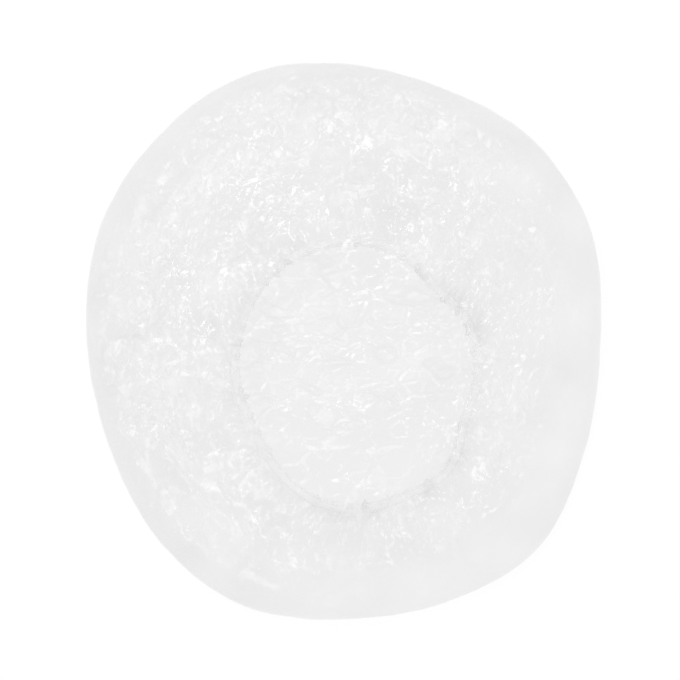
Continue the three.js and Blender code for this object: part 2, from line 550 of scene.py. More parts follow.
class NodeMaker:
    """Short way to add joined-up nodes to a tree."""

    def __init__(self, tree: bpy.types.NodeTree) -> None:
        """Hold the tree that is added to."""
        self.nodes = tree.nodes
        self.links = tree.links

    def join(self, value: Value, socket: Socket) -> None:
        """Link a socket, or set a plain number.

        Args:
            value: Source socket or number.
            socket: Input that takes it.
        """
        if isinstance(value, Socket):
            self.links.new(value, socket)
        else:
            socket.default_value = value

    def math(self, kind: str, first: Value, second: Value) -> Socket:
        """Add a sum of two values.

        Args:
            kind: Operation, as the tool names it.
            first: First value.
            second: Second value.

        Returns:
            The result.
        """
        node = self.nodes.new("ShaderNodeMath")
        node.operation = kind
        self.join(first, node.inputs[0])
        self.join(second, node.inputs[1])
        return node.outputs["Value"]

    def plus(self, first: Value, second: Value) -> Socket:
        """The sum of two values."""
        return self.math("ADD", first, second)

    def times(self, first: Value, second: Value) -> Socket:
        """The product of two values."""
        return self.math("MULTIPLY", first, second)

    def spread(self, value: Socket, source: Span, target: Span) -> Socket:
        """Map one range on another, clamped.

        Args:
            value: Value to map.
            source: Range that it comes in.
            target: Range that it leaves in.

        Returns:
            The result.
        """
        node = self.nodes.new("ShaderNodeMapRange")
        self.links.new(value, node.inputs["Value"])
        node.inputs["From Min"].default_value, node.inputs["From Max"].default_value = source
        node.inputs["To Min"].default_value, node.inputs["To Max"].default_value = target
        return node.outputs["Result"]

    def noise(self, place: Socket, scale: float, detail: float, ways: str = "2D") -> Socket:
        """Add noise.

        Args:
            place: Where it is looked up.
            scale: Its scale.
            detail: Its detail.
            ways: Whether it fills a plane or space, as the tool names it.

        Returns:
            Values from 0 to 1.
        """
        node = self.nodes.new("ShaderNodeTexNoise")
        node.noise_dimensions = ways
        node.inputs["Scale"].default_value = scale
        node.inputs["Detail"].default_value = detail
        self.links.new(place, node.inputs["Vector"])
        return node.outputs["Fac"]

    def moved(self, place: Socket, step: Span) -> Socket:
        """Add a shift of a plane lookup.

        Args:
            place: Where it is looked up.
            step: Shift along both ways.

        Returns:
            The new place.
        """
        node = self.nodes.new("ShaderNodeVectorMath")
        node.inputs[1].default_value = (*step, 0.0)
        self.links.new(place, node.inputs[0])
        return node.outputs["Vector"]

    def cells(self, place: Socket, scale: Value, shift: float, edges: bool = False) -> Socket:
        """Add scattered cells.

        Args:
            place: Where they are looked up.
            scale: Cells to the metre.
            shift: Distance by which the lookup is moved, so that two fields differ.
            edges: Whether to measure from the cells' edges in place of their points.

        Returns:
            The distance, in cells.
        """
        node = self.nodes.new("ShaderNodeTexVoronoi")
        node.voronoi_dimensions = "2D"
        if edges:
            node.feature = "DISTANCE_TO_EDGE"
        self.links.new(self.moved(place, (shift, 0.5 * shift)), node.inputs["Vector"])
        self.join(scale, node.inputs["Scale"])
        return node.outputs["Distance"]

    def facets(self, place: Socket, scale: Value, shift: float, apart: float = 7.3) -> Socket:
        """Add plane facets: the difference of two fields of squared distances.

        Args:
            place: Where they are looked up.
            scale: Cells to the metre.
            shift: Distance by which the lookup is moved.
            apart: Shift of the second field against the first.

        Returns:
            The height, in cells.
        """
        first = self.cells(place, scale, shift)
        second = self.cells(place, scale, shift + apart)
        return self.math("SUBTRACT", self.times(first, first), self.times(second, second))

    def noted(self, name: str) -> Socket:
        """Read a number that the mesh holds for each vertex.

        Args:
            name: Name of the attribute.

        Returns:
            The number.
        """
        node = self.nodes.new("ShaderNodeAttribute")
        node.attribute_name = name
        return node.outputs["Fac"]

    def bumped(self, shader: bpy.types.Node, height: Socket, distance: float) -> None:
        """Let a height tilt a shader's surface.

        Args:
            shader: The shader.
            height: The height.
            distance: Length of one unit of it, in metres.
        """
        bump = self.nodes.new("ShaderNodeBump")
        bump.inputs["Distance"].default_value = distance
        self.links.new(height, bump.inputs["Height"])
        self.links.new(bump.outputs["Normal"], shader.inputs["Normal"])

    def creased(
        self,
        shader: bpy.types.Node,
        creases: bpy.types.NodeTree,
        scale: float,
        roughness: Value,
        strength: Value,
    ) -> None:
        """Give a shader the fine creases.

        Args:
            shader: The shader.
            creases: Node group of the creases.
            scale: Cells to the metre.
            roughness: Middle roughness.
            strength: How hard the film has been crushed, from 0 to about 2.
        """
        fine = self.nodes.new("ShaderNodeGroup")
        fine.node_tree = creases
        fine.inputs["Scale"].default_value = scale
        self.join(roughness, fine.inputs["Roughness"])
        self.join(strength, fine.inputs["Strength"])
        self.bumped(shader, fine.outputs["Height"], MM)
        self.links.new(fine.outputs["Roughness"], shader.inputs["Roughness"])


def new_material(name: str) -> tuple[NodeMaker, bpy.types.Node, bpy.types.Material]:
    """Make a material with one shader.

    Args:
        name: Its name.

    Returns:
        A maker for its nodes, the shader and the material.
    """
    material = bpy.data.materials.new(name)
    material.use_nodes = True
    maker = NodeMaker(material.node_tree)
    return maker, maker.nodes["Principled BSDF"], material


@dataclass(frozen=True)
class FineCreases:
    """Creases too fine for the mesh: ridges with straight flanks, low facets and uneven gloss."""

    wide_reach: float = 0.15
    wide_rise: float = 0.43
    wide_share: Span = (0.46, 0.52)
    wide_patch: float = 110.0
    wide_shift: float = 1.7
    thin_reach: float = 0.19
    thin_rise: float = 0.30
    thin_share: Span = (0.50, 0.55)
    thin_patch: float = 130.0
    thin_finer: float = 1.9
    thin_shift: float = 4.9
    thin_aside: Span = (0.37, 0.21)
    thinning: float = 0.22
    steep_patch: float = 0.7
    steep: Span = (0.35, 1.3)
    plate_finer: float = 0.55
    plate_rise: float = 0.95
    plate_patch: float = 75.0
    plate_share: Span = (0.5, 0.62)
    plate_mix: Span = (0.5, 3.2)
    plate_shift: float = 11.3
    low_finer: float = 1.25
    low_rise: float = 0.45
    gloss_patch: float = 35.0
    gloss_detail: float = 4.0
    gloss: Span = (0.7, 1.4)
    noise_span: Span = (0.3, 0.7)

    def patches(
        self, maker: NodeMaker, place: Socket, patch: float, share: Span, fewer: Socket
    ) -> Socket:
        """Where ridges lie, and how steep they are there.

        Args:
            maker: Maker of the group's nodes.
            place: Where they are looked up.
            patch: Scale of the patches.
            share: Range of the noise over which ridges set in.
            fewer: What is added to the noise, so that there are fewer or more.

        Returns:
            The steepness, 0 where there are none.
        """
        where = maker.plus(maker.noise(place, patch, 1.0), fewer)
        steep = maker.noise(place, patch * self.steep_patch, 0.0)
        return maker.times(
            maker.spread(where, share, UNIT), maker.spread(steep, self.noise_span, self.steep)
        )

    def group(self) -> bpy.types.NodeTree:
        """Build the node group.

        Returns:
            The group: inputs Scale, Roughness and Strength, outputs Height in mm and Roughness.
        """
        group = bpy.data.node_groups.new("fine_film_creases", "ShaderNodeTree")
        for name in ("Scale", "Roughness", "Strength"):
            group.interface.new_socket(name, in_out="INPUT", socket_type="NodeSocketFloat")
        for name in ("Height", "Roughness"):
            group.interface.new_socket(name, in_out="OUTPUT", socket_type="NodeSocketFloat")
        maker = NodeMaker(group)
        entry = group.nodes.new("NodeGroupInput")
        leave = group.nodes.new("NodeGroupOutput")
        run = group.nodes.new("ShaderNodeUVMap")
        run.uv_map = FilmSheet.RUN
        place = run.outputs["UV"]
        scale, strength = entry.outputs["Scale"], entry.outputs["Strength"]

        fewer = maker.times(maker.math("SUBTRACT", strength, 1.0), self.thinning)
        wide = maker.cells(place, scale, self.wide_shift, edges=True)
        wide = maker.spread(wide, (0.0, self.wide_reach), (self.wide_rise, 0.0))
        wide_at = self.patches(maker, place, self.wide_patch, self.wide_share, fewer)
        thin = maker.cells(place, maker.times(scale, self.thin_finer), self.thin_shift, edges=True)
        thin = maker.spread(thin, (0.0, self.thin_reach), (self.thin_rise, 0.0))
        aside = maker.moved(place, self.thin_aside)
        thin_at = self.patches(maker, aside, self.thin_patch, self.thin_share, fewer)
        ridges = maker.plus(maker.times(wide, wide_at), maker.times(thin, thin_at))

        plates = maker.facets(place, maker.times(scale, self.plate_finer), self.plate_shift)
        low = maker.facets(place, maker.times(scale, self.low_finer), 0.0)
        flats = maker.plus(maker.times(plates, self.plate_rise), maker.times(low, self.low_rise))
        mixed = maker.noise(place, self.plate_patch, 1.0)
        mixed = maker.spread(mixed, self.plate_share, self.plate_mix)
        flats = maker.times(maker.times(flats, mixed), strength)
        group.links.new(maker.plus(ridges, flats), leave.inputs["Height"])

        uneven = maker.noise(place, self.gloss_patch, self.gloss_detail)
        uneven = maker.spread(uneven, self.noise_span, self.gloss)
        rough = maker.times(uneven, entry.outputs["Roughness"])
        group.links.new(rough, leave.inputs["Roughness"])
        return group


@dataclass(frozen=True)
class SheetPoints:
    """What is known of each point of the smooth sheet.

    Attributes:
        base: Place in space, in metres.
        turn: Angle round the cap, in radians.
        out: Distance from the elastic's line along the brim, in metres.
        way: Share of the way from the crown's middle to its edge, 1 beyond it.
        over: Quarter turns over the rolled rim, counted on in the same steps over the brim.
        on_brim: Share of the way over the brim to the hem, 0 before it.
    """

    base: np.ndarray
    turn: np.ndarray
    out: np.ndarray
    way: np.ndarray
    over: np.ndarray
    on_brim: np.ndarray


@dataclass(frozen=True)
class LongFolds:
    """Straight folds that run out from the elastic at the front of the brim.

    Each has its angle in degrees, and its middle and half width in millimetres.
    """

    folds: Triples = (
        (230, 17, 1.8), (238, 15, 2.0), (246, 14, 1.8), (258, 17, 1.6), (261.5, 17, 1.6),
        (267.5, 13, 1.6), (275, 18, 1.8), (285, 11, 1.9), (288.5, 19, 1.9), (307, 18, 1.8),
        (315, 21, 1.8), (321, 17, 1.6),
    )
    slope: float = 0.26
    ends: Span = (4.9 * MM, 9.8 * MM)

    def height(self, at: SheetPoints, radius: float) -> np.ndarray:
        """Height of the folds.

        Args:
            at: Points of the sheet.
            radius: The mouth's middle radius, in metres.

        Returns:
            Heights in metres.
        """
        total = np.zeros_like(at.out)
        for place, middle, half in self.folds:
            aside = np.radians(np.abs(degrees_off(at.turn, place)))
            tent = np.maximum(half * MM - aside * (radius + at.out), 0.0)
            ended = smooth_step(np.abs(at.out - middle * MM), *self.ends)
            total += self.slope * tent * (1.0 - ended)
        return total


@dataclass(frozen=True)
class Crushing:
    """How hard the film has been crushed, most from the upper right round to the left.

    The pairs taut and loose hold the strength everywhere, and what the crushed side adds.
    """

    billows: Billows = Billows(length=60 * MM, seed=5)
    side_deg: float = 120.0
    side_edge: Span = (65.0, 120.0)
    side_sway: float = 9.0
    taut_edge: Span = (0.76, 1.0)
    taut_sway: float = 0.05
    taut: Span = (0.35, 0.1)
    loose: Span = (0.42, 0.18)
    rim_places: Triples = ((183, 20, 0.8), (85, 30, 0.8))
    front_places: Triples = ((272, 34, 0.7),)
    front_reach: float = 15 * MM
    patch_rise: float = 0.12
    patch_finer: float = 1.9
    patch_shift: float = 0.1
    calm_places: Triples = ((220, 28, 0.45),)
    fold_calm: float = 0.3
    fold_full: float = 0.12 * MM
    crown: float = 2.1
    crown_least: float = 0.35
    crown_edge: Span = (-50 * MM, -18 * MM)
    crown_sway: float = 4 * MM
    seen_edge: Span = (0.9, 1.1)
    hidden_share: float = 0.7

    def strength(self, at: SheetPoints, plan: CapPlan, folds: np.ndarray) -> np.ndarray:
        """Strength at each point.

        Args:
            at: Points of the sheet.
            plan: The cap's plan.
            folds: Height of the long folds at each point.

        Returns:
            Strengths from about 0.1 to 1 on the brim, and to about 2 inside the mouth.
        """
        flat = at.base[:, :2]
        uneven = self.billows.height(flat)
        across = plan.outline.share(flat, (0.0, 0.0))
        taut = smooth_step(across + self.taut_sway * uneven, *self.taut_edge)
        away = np.abs(degrees_off(at.turn, self.side_deg)) + self.side_sway * uneven
        side = 1.0 - smooth_step(away, *self.side_edge)
        brim = self.taut[0] + self.taut[1] * side
        brim += (self.loose[0] + self.loose[1] * side) * (1.0 - taut)
        brim += turn_bells(at.turn, self.rim_places) * taut
        near = bell(at.out, self.front_reach, self.front_reach)
        brim += turn_bells(at.turn, self.front_places) * near
        brim += self.patch_rise * self.billows.height(self.patch_finer * flat + self.patch_shift)
        brim *= 1.0 - turn_bells(at.turn, self.calm_places)
        brim *= 1.0 - self.fold_calm * np.minimum(folds / self.fold_full, 1.0)
        back = smooth_step(flat[:, 1] + self.crown_sway * uneven, *self.crown_edge)
        crown = self.crown * (self.crown_least + (1.0 - self.crown_least) * back)
        seen = 1.0 - smooth_step(plan.mouth.share(flat, plan.mouth.centre), *self.seen_edge)
        hidden = self.hidden_share * brim
        return np.where(at.way < 1.0, crown * seen + hidden * (1.0 - seen), brim)


@dataclass(frozen=True)
class FilmShade:
    """Where the film looks darker, duller or thicker, painted shade included.

    Edges along the sheet are in quarter turns over the rolled rim. Each pair of haze_edge holds
    the edge at the back, and what the taut side adds.
    """

    # painted shade just outside the hem, where the film dips behind it: middle and reach in degrees,
    # and strength
    hem_shade_places: Triples = (
        (18, 7, 0.9), (33, 7, 1.0), (337, 6, 0.7), (321, 7, 0.8), (301, 7, 0.9), (278, 6, 0.5),
        (258, 12, 0.8), (122, 10, 0.7), (147, 9, 0.7), (174, 12, 0.6),
    )
    hem_shade_reach: float = 4.5 * MM
    # painted shade in the valleys of the gathers
    valley_shade: float = 0.2
    valley_shade_places: Triples = ((262, 28, 0.15), (15, 32, 0.2), (180, 25, 0.1))
    valley_shade_depth: float = 1.2 * MM
    valley_shade_band: Span = (9 * MM, 11 * MM)
    cloud: float = 0.06
    cloud_finer: float = 1.6
    cloud_shift: float = 0.3
    crushed: float = 0.4
    crushed_middle: float = 0.62
    crushed_span: Span = (-0.3, 0.45)
    upper_edge: Span = (0.9, 1.3)
    upper_places: Triples = ((222, 25, 0.32), (320, 75, -0.22))
    rim_edge: Span = (2.2, 3.2)
    rim_places: Triples = ((190, 45, 0.3),)
    clearest: float = -0.35
    crisp_places: Triples = ((183, 20, 0.8), (85, 30, 0.8))
    taut_deg: float = 320.0
    taut_edge: Span = (0.1, 0.7)
    haze_edge: tuple[Span, Span] = ((0.9, 0.3), (1.6, 0.8))
    crown_haze: float = 0.23
    crown_cover: float = 0.165
    brim_cover: float = 0.088
    rim_cover: float = 0.055
    rim_cover_edge: Span = (1.9, 3.2)
    dark_cover: float = 0.08
    turn_cover: float = 0.8
    turn_band: Span = (1.0, 0.15)
    crown_tone: float = 0.10
    brim_tone: float = 0.75
    dark_tone: float = 0.40

    def upper(self, at: SheetPoints) -> np.ndarray:
        """1 on the upper side of the sheet, 0 on the crown."""
        return smooth_step(at.over, *self.upper_edge)

    def dark(
        self, at: SheetPoints, plan: CapPlan, crushed: np.ndarray, billows: Billows
    ) -> np.ndarray:
        """How much darker the film looks, with painted shade outside the hem and in the gathers'
        valleys.

        Args:
            at: Points of the sheet.
            plan: The cap's plan.
            crushed: How hard the film has been crushed at each point.
            billows: Waves that cloud the film.

        Returns:
            Shades from below 0, where it is clearest, to about 1.
        """
        # painted shade in the valleys of the gathers, strongest at the front, right and left
        valley_shade = np.clip(-plan.pleats(at.turn, at.out) / self.valley_shade_depth, 0.0, 1.0)
        valley_shade *= self.valley_shade + turn_bells(at.turn, self.valley_shade_places)
        clouds = billows.height(self.cloud_finer * at.base[:, :2] + self.cloud_shift)
        crush = self.crushed * np.clip(crushed - self.crushed_middle, *self.crushed_span)
        rim = turn_bells(at.turn, self.rim_places) * (1.0 - smooth_step(at.over, *self.rim_edge))
        # painted shade just outside the hem, where the film dips behind it
        dark = turn_bells(at.turn, self.hem_shade_places) * bell(at.out, self.hem_shade_reach, self.hem_shade_reach)
        dark += valley_shade * bell(at.out, *self.valley_shade_band) + self.cloud * clouds
        dark += (crush + turn_bells(at.turn, self.upper_places) + rim) * self.upper(at)
        return np.maximum(dark, self.clearest)

    def haze(self, at: SheetPoints) -> np.ndarray:
        """How dull the film looks: most under the rolled rim, and further over it at the taut side.

        Args:
            at: Points of the sheet.

        Returns:
            Values from 0 to 1.
        """
        bells = (height * turn_bell(at.turn, *place) for *place, height in self.crisp_places)
        crisp = np.maximum(*bells)
        taut = smooth_step(np.cos(at.turn - math.radians(self.taut_deg)), *self.taut_edge)
        starts, ends = (back + more * taut for back, more in self.haze_edge)
        haze = (1.0 - smooth_step(at.over, starts, ends)) * (1.0 - crisp)
        return np.where(at.way < 1.0, self.crown_haze, haze)

    def cover(self, at: SheetPoints, dark: np.ndarray) -> np.ndarray:
        """How much the film hides what lies behind it, least where the rim turns.

        Args:
            at: Points of the sheet.
            dark: How much darker the film looks at each point.

        Returns:
            Values from 0 to 1.
        """
        rim = 1.0 - smooth_step(at.over, *self.rim_cover_edge)
        brim = self.brim_cover + (self.rim_cover - self.brim_cover) * rim
        cover = self.crown_cover + (brim - self.crown_cover) * self.upper(at)
        turn = bell(at.over, *self.turn_band)
        return (cover + self.dark_cover * dark) * (1.0 - self.turn_cover * turn)

    def tone(self, at: SheetPoints, dark: np.ndarray) -> np.ndarray:
        """Grey of the film's veil, from 0, black, to 1, white."""
        tone = self.crown_tone + (self.brim_tone - self.crown_tone) * self.upper(at)
        return tone - self.dark_tone * np.minimum(dark, 1.0)


@dataclass
class FilmSheet:
    """The one sheet of film: crown on the floor, rolled rim and gathered brim up to the hem.

    Each of the rim's puffs has its count round the cap, its phase and its height.
    """

    FLAT = "flat_cut"
    RUN = "crease_run"
    COVER = "cover"
    TONE = "tone"
    CRUSHED = "crushed"
    HAZE = "haze"

    plan: CapPlan
    cut_diameter: float = 465 * MM
    hem_turn_in: float = 11 * MM
    roll_rows: int = 40
    brim_rows: int = 42
    puffs: Triples = ((3, 0.4, 0.10), (7, 2.0, 0.06))
    edge_above: float = 0.4 * MM
    brim_sag: float = 0.06
    big: Creases = Creases(cell=17 * MM, seed=11)
    small: Creases = Creases(cell=7.5 * MM, seed=23)
    crease_rise: float = 0.03
    crease_rich: Span = (0.62, 0.38)
    crease_narrow: float = 0.5
    swell_rise: float = 0.5 * MM
    swell_edge: Span = (0.0, 0.3)
    free_edge: Span = (4.8 * MM, 9 * MM)
    crown_lift: float = 1.0 * MM
    crown_rich: float = 1.3
    crown_edge: Span = (0.85, 1.0)
    least_height: float = 0.05 * MM
    inner_edge: Span = (0.5, 1.0)
    crown_finer: Span = (0.66, 1.05)
    warp_x: Billows = Billows(length=12 * MM, seed=71)
    warp_y: Billows = Billows(length=12 * MM, seed=72)
    sway: float = 0.5 * MM
    drawn_share: float = 0.68
    drawn_reach: Span = (11 * MM, 27 * MM)
    drawn_place: Span = (270, 55)
    upper_shift: float = 1.0
    folds: LongFolds = LongFolds()
    crushing: Crushing = Crushing()
    shade: FilmShade = FilmShade()

    def crown_numbers(self) -> np.ndarray:
        """Vertex numbers of the crown's square net."""
        side = self.plan.columns // 4 + 1
        return np.arange(side**2).reshape(side, side)

    def crown_grid(self) -> tuple[np.ndarray, np.ndarray]:
        """Square net laid on a disc, for the crown.

        Returns:
            The share of the way from the middle to the rim, and the angle, for each crossing.
        """
        side = np.linspace(-1.0, 1.0, self.plan.columns // 4 + 1)
        a, b = np.meshgrid(side, side, indexing="ij")
        wide = np.abs(a) >= np.abs(b)
        with np.errstate(divide="ignore", invalid="ignore"):
            across = np.where(a != 0, b / a, 0.0)
            along = np.where(b != 0, a / b, 0.0)
        share = np.where(wide, np.abs(a), np.abs(b))
        angle = np.where(wide, across * math.pi / 4, math.pi / 2 - along * math.pi / 4)
        back = np.where(wide, a < 0, b < 0)
        return share, np.where(back, angle + math.pi, angle)

    def crown_ring(self) -> np.ndarray:
        """Border of the crown's net.

        Returns:
            Vertex numbers, column by column anticlockwise.
        """
        number = self.crown_numbers()
        right, top = number[-1, :-1], number[:0:-1, -1]
        left, bottom = number[0, :0:-1], number[:-1, 0]
        return np.concatenate([right, top, left, bottom])

    def side_rows(self) -> tuple[np.ndarray, np.ndarray]:
        """Rows from the crown's edge over the rolled rim and the brim to the hem.

        Returns:
            Points of the rows, and their distance from the elastic's line along the brim.
        """
        plan = self.plan
        angle = plan.angles()
        outline = plan.outline.point(angle)
        outward = plan.outline.outward(angle)
        waves = [rise * np.sin(count * angle + phase) for count, phase, rise in self.puffs]
        puff = 1.0 + sum(waves)
        rows = []
        for bend in np.radians(np.linspace(-90.0, 90.0, self.roll_rows + 1)[1:]):
            inset = plan.roll_depth * (1.0 - math.cos(bend))
            z = 0.5 * plan.roll_height * (1.0 + math.sin(bend)) * puff
            rows.append(np.column_stack([outline - outward * inset, z]))
        top = rows[-1]
        edge = plan.hem_point(angle, plan.hem_end, self.edge_above)
        edge[:, 2] -= plan.pleats(angle, plan.hem_end)
        reach = np.linalg.norm(top - edge, axis=1)
        outs = [plan.hem_end + reach] * len(rows)
        for step in np.linspace(0.0, 1.0, self.brim_rows + 1)[1:]:
            point = top * (1.0 - step) + edge * step
            point[:, 2] *= 1.0 - 4.0 * step * (1.0 - step) * self.brim_sag
            rows.append(point)
            outs.append(plan.hem_end + reach * (1.0 - step))
        return np.array(rows), np.array(outs)

    def build(self) -> bpy.types.Object:
        """Make the sheet's mesh.

        Returns:
            The film as one object.
        """
        plan = self.plan
        share, angle = self.crown_grid()
        foot = plan.outline.point(angle) - plan.outline.outward(angle) * plan.roll_depth
        middle = np.array(plan.outline.centre)
        crown = middle + (foot - middle) * share[..., None]
        crown = np.concatenate([crown, np.zeros(share.shape + (1,))], axis=-1).reshape(-1, 3)
        rows, outs = self.side_rows()

        number = self.crown_numbers()
        net = [number[:-1, :-1], number[:-1, 1:], number[1:, 1:], number[1:, :-1]]
        net = np.stack(net, axis=-1).reshape(-1, 4)
        beyond = len(crown) + np.arange(outs.size).reshape(outs.shape)
        rings = np.vstack([self.crown_ring(), beyond])
        base = np.concatenate([crown, rows.reshape(-1, 3)])
        piece = mesh_piece("film_sheet_clear", base, np.concatenate([net, band_faces(rings)]))

        none = np.zeros(len(crown))
        over = np.arange(len(rows)) / (self.roll_rows / 2)
        on_brim = np.concatenate([np.zeros(self.roll_rows), np.linspace(0.0, 1.0, self.brim_rows)])
        at = SheetPoints(
            base=base,
            turn=np.concatenate([angle.ravel(), np.tile(plan.angles(), len(rows))]),
            out=np.concatenate([none + 1.0, outs.ravel()]),
            way=np.concatenate([share.ravel(), np.ones(outs.size)]),
            over=np.concatenate([none, np.repeat(over, plan.columns)]),
            on_brim=np.concatenate([none, np.repeat(on_brim, plan.columns)]),
        )
        folds = self.folds.height(at, plan.mouth.length / 2)
        crushed = self.crushing.strength(at, plan, folds)
        self.crumple(piece.data, at, crushed, folds)
        dark = self.shade.dark(at, plan, crushed, self.crushing.billows)
        note_values(piece.data, self.CRUSHED, crushed)
        note_values(piece.data, self.HAZE, self.shade.haze(at))
        note_values(piece.data, self.COVER, self.shade.cover(at, dark))
        note_values(piece.data, self.TONE, self.shade.tone(at, dark))
        self.lay_patterns(piece.data, crown, rows, outs, at.way)
        return piece

    def lay_patterns(
        self,
        mesh: bpy.types.Mesh,
        crown: np.ndarray,
        rows: np.ndarray,
        outs: np.ndarray,
        way: np.ndarray,
    ) -> None:
        """Lay the flat cut and the crease run on the sheet.

        The crease run has a seam at the widest part of the rolled rim: inside it the pattern runs
        on from the crown, and beyond it back from the hem, so that creases keep their shape. Close
        to the hem it is drawn out along the gathers, most at the front.

        Args:
            mesh: Mesh of the sheet.
            crown: Smooth points of the crown.
            rows: Smooth points of the rows.
            outs: Distance of the rows' points from the elastic's line along the brim.
            way: Share of the way from the crown's middle to its edge, 1 beyond it.
        """
        plan = self.plan
        angle = plan.angles()
        outward = plan.outline.outward(angle)
        foot = crown[self.crown_ring()]
        steps = np.linalg.norm(np.diff(np.concatenate([foot[None], rows]), axis=0), axis=-1)
        along = np.cumsum(steps, axis=0)
        side = foot[:, :2] + outward * along[..., None]
        under = np.concatenate([crown[:, :2], side.reshape(-1, 2)])
        lay_pattern(mesh, self.FLAT, under)

        inner = 1.0 - smooth_step(way, *self.inner_edge)
        drawn = under * (1.0 + (np.array(self.crown_finer) - 1.0) * inner[:, None])
        top = self.roll_rows - 1
        beyond = rows[..., :2].copy()
        beyond[:top] = rows[top, :, :2] + outward * (along[top] - along[:top])[..., None]
        short, long = self.drawn_reach
        reach = short + (long - short) * turn_bell(angle, *self.drawn_place)
        drawn_out = self.drawn_share * np.minimum(outs, reach)
        beyond -= plan.mouth.outward(angle) * drawn_out[..., None]
        over = np.concatenate([crown[:, :2], beyond.reshape(-1, 2)])
        seam = 4 * ((plan.columns // 4) ** 2 + plan.columns * (self.roll_rows // 2))
        lay_pattern(mesh, self.RUN, self.swayed(drawn), self.swayed(over) + self.upper_shift, seam)

    def swayed(self, places: np.ndarray) -> np.ndarray:
        """Move plane points to and fro, so that straight creases curl."""
        sway = np.stack([self.warp_x.height(places), self.warp_y.height(places)], axis=-1)
        return places + self.sway * sway

    def crumple(
        self, mesh: bpy.types.Mesh, at: SheetPoints, crushed: np.ndarray, folds: np.ndarray
    ) -> None:
        """Crush the smooth sheet into facets, gathers and swells.

        Args:
            mesh: Mesh of the sheet.
            at: Its smooth points.
            crushed: How hard the film has been crushed at each point.
            folds: Height of the long folds at each point.
        """
        on_crown = at.way < 1.0
        run = at.base.copy()
        run[:, 0] *= 1.0 - self.crease_narrow * (1.0 - smooth_step(at.way, *self.inner_edge))
        crush = self.crease_rise * (self.big.height(run) + self.small.height(run))
        swells = self.swell_rise * self.crushing.billows.height(at.base[:, :2])
        side = crush * (self.crease_rich[0] + self.crease_rich[1] * crushed) + folds
        side += swells * smooth_step(at.on_brim, *self.swell_edge)
        side = self.plan.pleats(at.turn, at.out) + side * smooth_step(at.out, *self.free_edge)
        crown = np.maximum(self.crown_lift + self.crown_rich * crush, 0.0)
        crown *= 1.0 - smooth_step(at.way, *self.crown_edge)
        points = raise_points(mesh, at.base, np.where(on_crown, 0.0, side))
        points[:, 2] += np.where(on_crown, crown, 0.0)
        points[:, 2] = np.maximum(points[:, 2], self.least_height)
        move_points(mesh, points)

    def dress(self, piece: bpy.types.Object, film: bpy.types.Material, hem: bpy.types.Object) -> None:
        """Finish the sheet and bake its place into its points.

        Args:
            piece: The sheet.
            film: Film material.
            hem: The hem that is cut from the same sheet; not used.
        """
        piece.data.materials.append(film)
        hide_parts(Node.FILM.value)
        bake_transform(piece)


